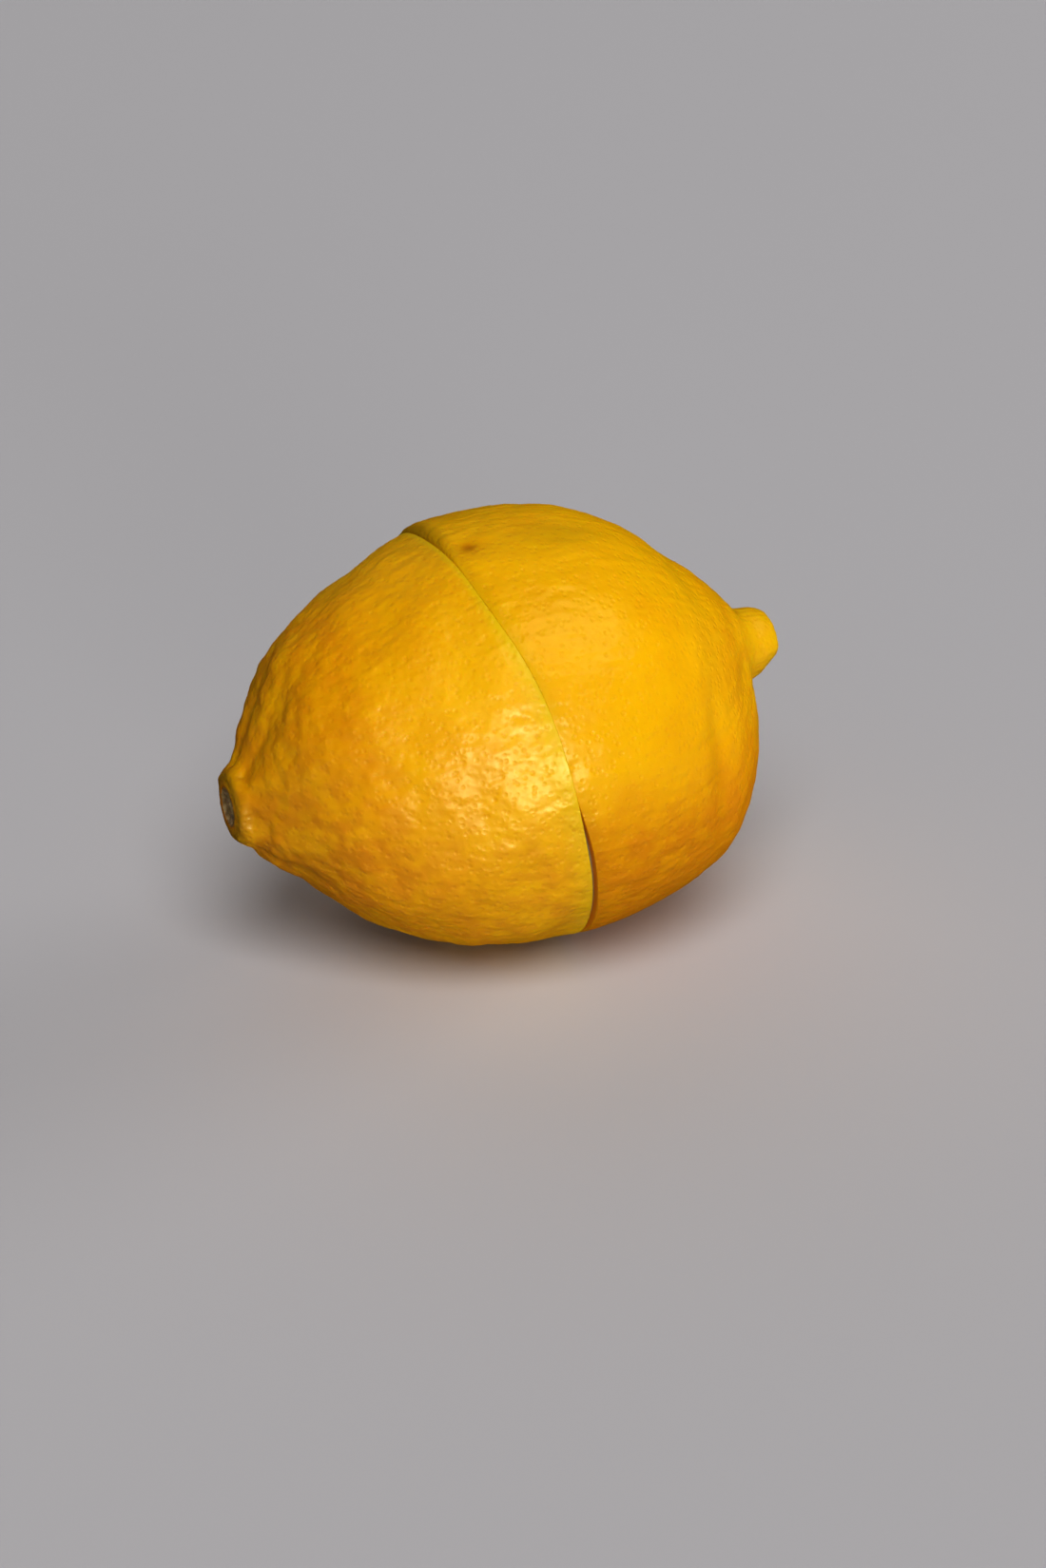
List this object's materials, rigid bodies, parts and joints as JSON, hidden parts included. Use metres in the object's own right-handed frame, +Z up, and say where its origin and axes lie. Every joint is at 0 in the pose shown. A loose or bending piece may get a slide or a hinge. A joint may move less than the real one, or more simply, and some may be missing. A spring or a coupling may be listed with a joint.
{
  "type": "lemon",
  "caption": "Ripe lemon cut crosswise on a slant, its halves set back together: pored yellow peel, short stem neck and a stubby nipple.",
  "frame": {"origin": "middle of the fruit's bounding box, at the level of the rest spot it lies on", "axes": "+X along the fruit's length toward the nipple, +Y across it, +Z up"},
  "size_m": [0.0821, 0.0607, 0.0606],
  "materials": {
    "stem_half_peel": "waxy lemon peel with fine pores and wrinkles; the cut face shows white pith and pale juicy flesh",
    "tip_half_peel": "waxy lemon peel, smoother, with fine pores; the cut face shows white pith and pale juicy flesh"
  },
  "bodies": {
    "root": {"stem_half": "stem_half_peel", "tip_half": "tip_half_peel"}
  },
  "joints": []
}
